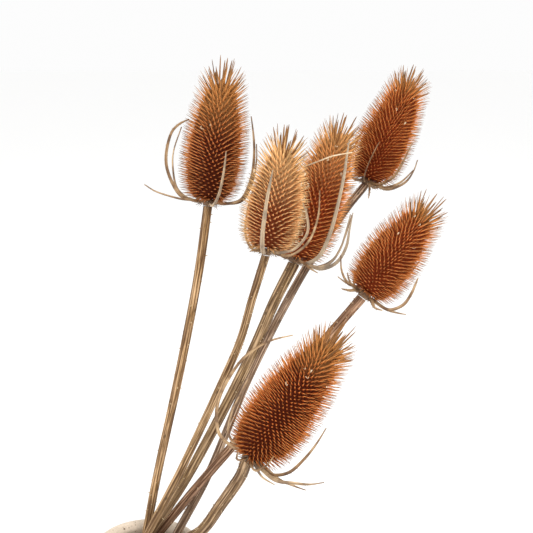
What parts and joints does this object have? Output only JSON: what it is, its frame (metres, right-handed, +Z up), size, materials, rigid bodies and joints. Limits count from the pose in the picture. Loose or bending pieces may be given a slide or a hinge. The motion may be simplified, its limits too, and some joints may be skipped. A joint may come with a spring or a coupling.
{
  "type": "dried teasel bunch in a vase",
  "caption": "Dried teasel stems with spiny egg-shaped seed heads and long curved bracts, standing in a round stoneware vase.",
  "frame": {"origin": "centre of the vase's flat foot, on the surface it stands on", "axes": "+Z up, along the longest extent; +X to the viewer's right, the way the bunch fans out; +Y away from the viewer"},
  "size_m": [0.2349, 0.2037, 0.4127],
  "materials": {
    "stoneware": "matte",
    "dry_stem": "matte",
    "dry_bract": "matte",
    "seed_head": "matte"
  },
  "bodies": {
    "root": {"vase": "stoneware", "stem_1": "dry_stem", "stem_2": "dry_stem", "stem_3": "dry_stem", "stem_4": "dry_stem", "stem_5": "dry_stem", "stem_6": "dry_stem", "bracts_1": "dry_bract", "bracts_2": "dry_bract", "bracts_3": "dry_bract", "bracts_4": "dry_bract", "bracts_5": "dry_bract", "bracts_6": "dry_bract", "head_1": "seed_head", "head_2": "seed_head", "head_3": "seed_head", "head_4": "seed_head", "head_5": "seed_head", "head_6": "seed_head"}
  },
  "joints": []
}
